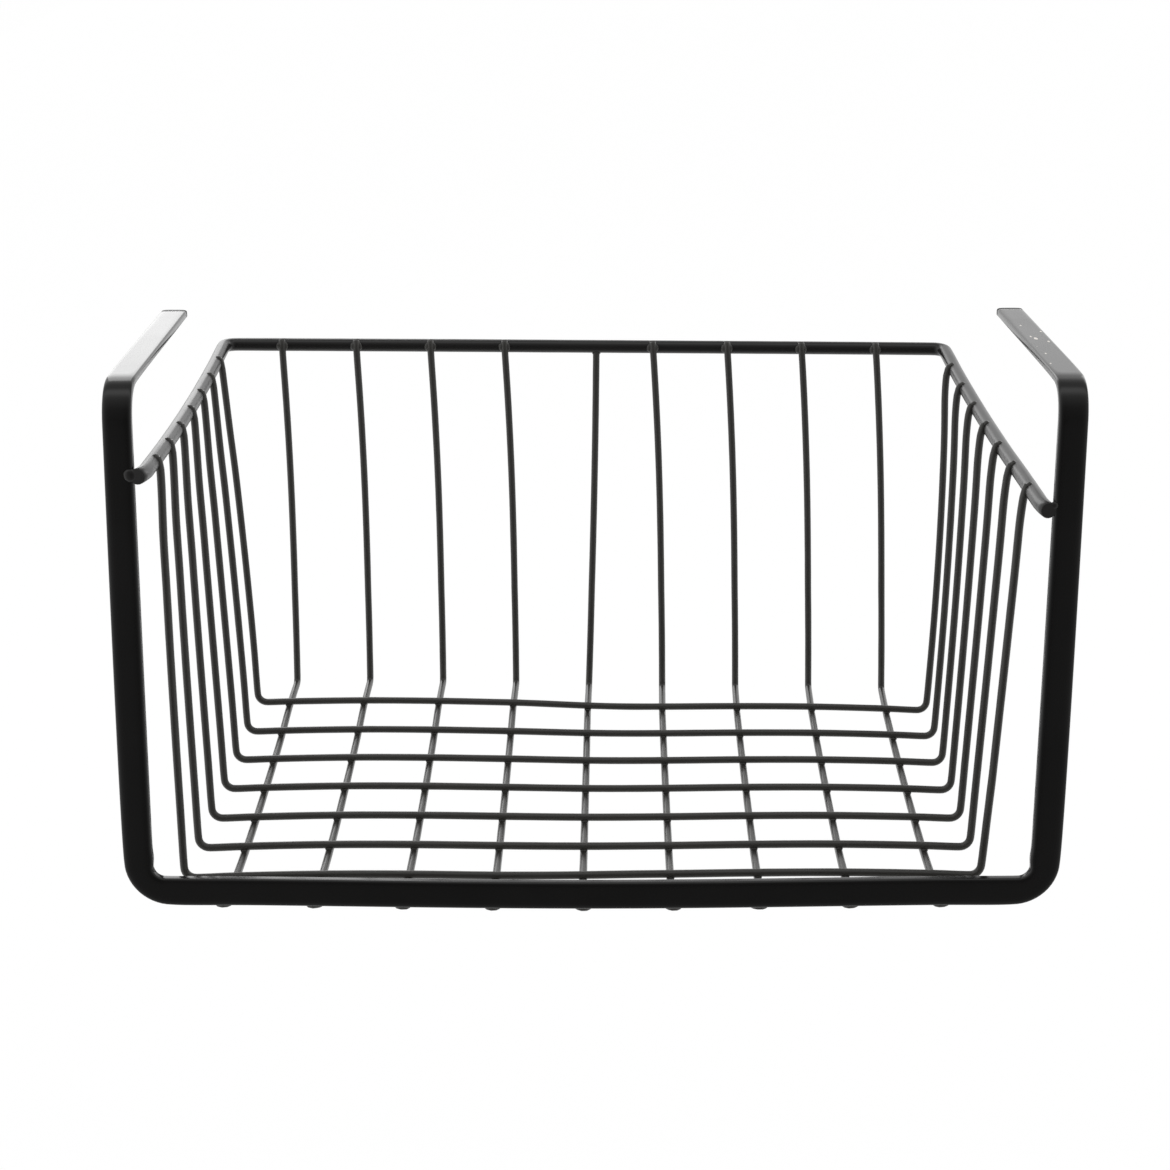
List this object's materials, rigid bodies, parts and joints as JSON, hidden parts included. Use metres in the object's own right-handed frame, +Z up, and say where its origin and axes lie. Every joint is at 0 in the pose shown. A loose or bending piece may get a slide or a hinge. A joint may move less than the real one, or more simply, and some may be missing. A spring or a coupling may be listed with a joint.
{
  "type": "hanging wire basket",
  "caption": "Rectangular welded wire basket that hangs under a shelf board by two flat arms, open at the front and the top.",
  "frame": {"origin": "centre of the foot of the basket's bounding box, at the level of the lowest floor wire", "axes": "+X to the right seen from the open front, +Y from the open front to the back wall, +Z up towards the arms"},
  "size_m": [0.4022, 0.2956, 0.2355],
  "materials": {
    "tube_enamel": "semi-gloss black enamel on steel tube",
    "rim_enamel": "semi-gloss black enamel on steel wire",
    "wire_enamel": "semi-gloss black enamel on steel wire",
    "plug_plastic": "moulded black plastic"
  },
  "bodies": {
    "root": {"front_frame": "tube_enamel", "arm_plug_left": "plug_plastic", "arm_plug_right": "plug_plastic", "rim_wire": "rim_enamel", "cross_wire_1": "wire_enamel", "cross_wire_2": "wire_enamel", "cross_wire_3": "wire_enamel", "cross_wire_4": "wire_enamel", "cross_wire_5": "wire_enamel", "cross_wire_6": "wire_enamel", "cross_wire_7": "wire_enamel", "lengthwise_wire_1": "wire_enamel", "lengthwise_wire_2": "wire_enamel", "lengthwise_wire_3": "wire_enamel", "lengthwise_wire_4": "wire_enamel", "lengthwise_wire_5": "wire_enamel", "lengthwise_wire_6": "wire_enamel", "lengthwise_wire_7": "wire_enamel", "lengthwise_wire_8": "wire_enamel", "lengthwise_wire_9": "wire_enamel"}
  },
  "joints": []
}
